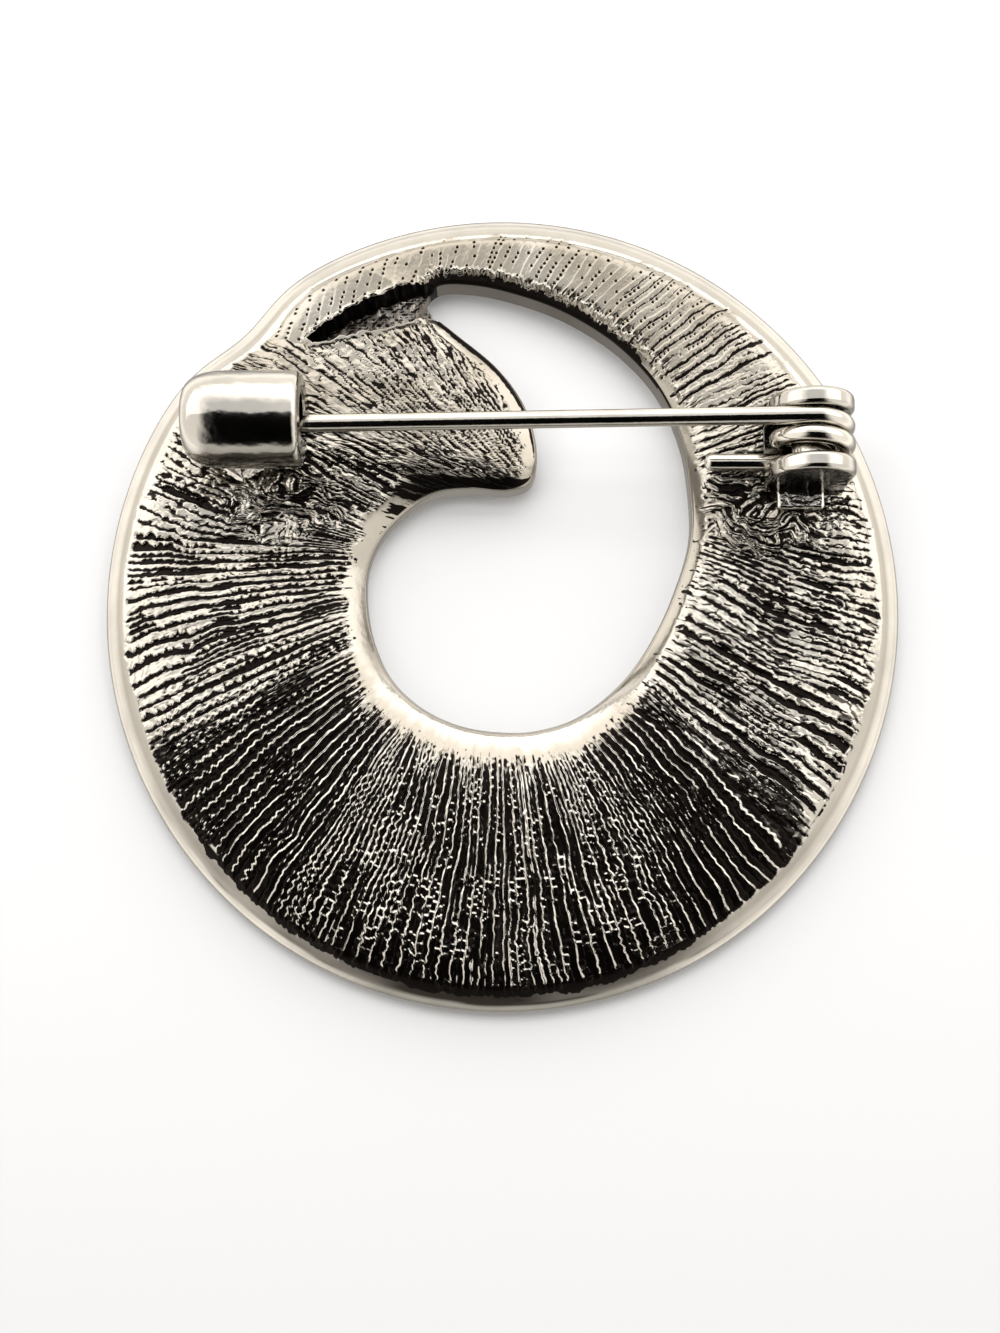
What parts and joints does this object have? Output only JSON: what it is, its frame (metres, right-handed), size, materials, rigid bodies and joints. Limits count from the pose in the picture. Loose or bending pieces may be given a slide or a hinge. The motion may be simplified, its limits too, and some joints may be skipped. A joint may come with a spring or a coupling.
{
  "type": "enamel brooch",
  "caption": "Openwork round brooch cast as a ring that winds in on itself, lying on its enamelled front, with a sprung wire pin, a coil hinge and a barrel catch on its ribbed back.",
  "frame": {"origin": "the middle of the plate's outline, on the plane of its front rim", "axes": "+Z out of the back, away from the front; +X along the pin from its point to its coil; +Y across the pin, from the plate's middle towards the pin"},
  "size_m": [0.038, 0.0384, 0.0066],
  "materials": {
    "plated_casting": "plated zinc casting, polished on its edges and findings, with dark antiqued grooves",
    "enamel": "plain glossy cold enamel",
    "pin_wire": "bright plated spring wire"
  },
  "bodies": {
    "plate": {"body_casting": "plated_casting", "enamel_inlay": "enamel", "spring_tail": "pin_wire"},
    "pin": {"pin_stem": "pin_wire"}
  },
  "joints": [
    {"name": "stem_hinge", "type": "hinge", "parent": "plate", "child": "pin", "pos_m": [0.01435, 0.007, 0.00417], "axis": [0, 1, 0], "range_deg": [-5, 0], "stiffness_Nm_per_rad": 0.02, "springref_deg": 17.19}
  ]
}
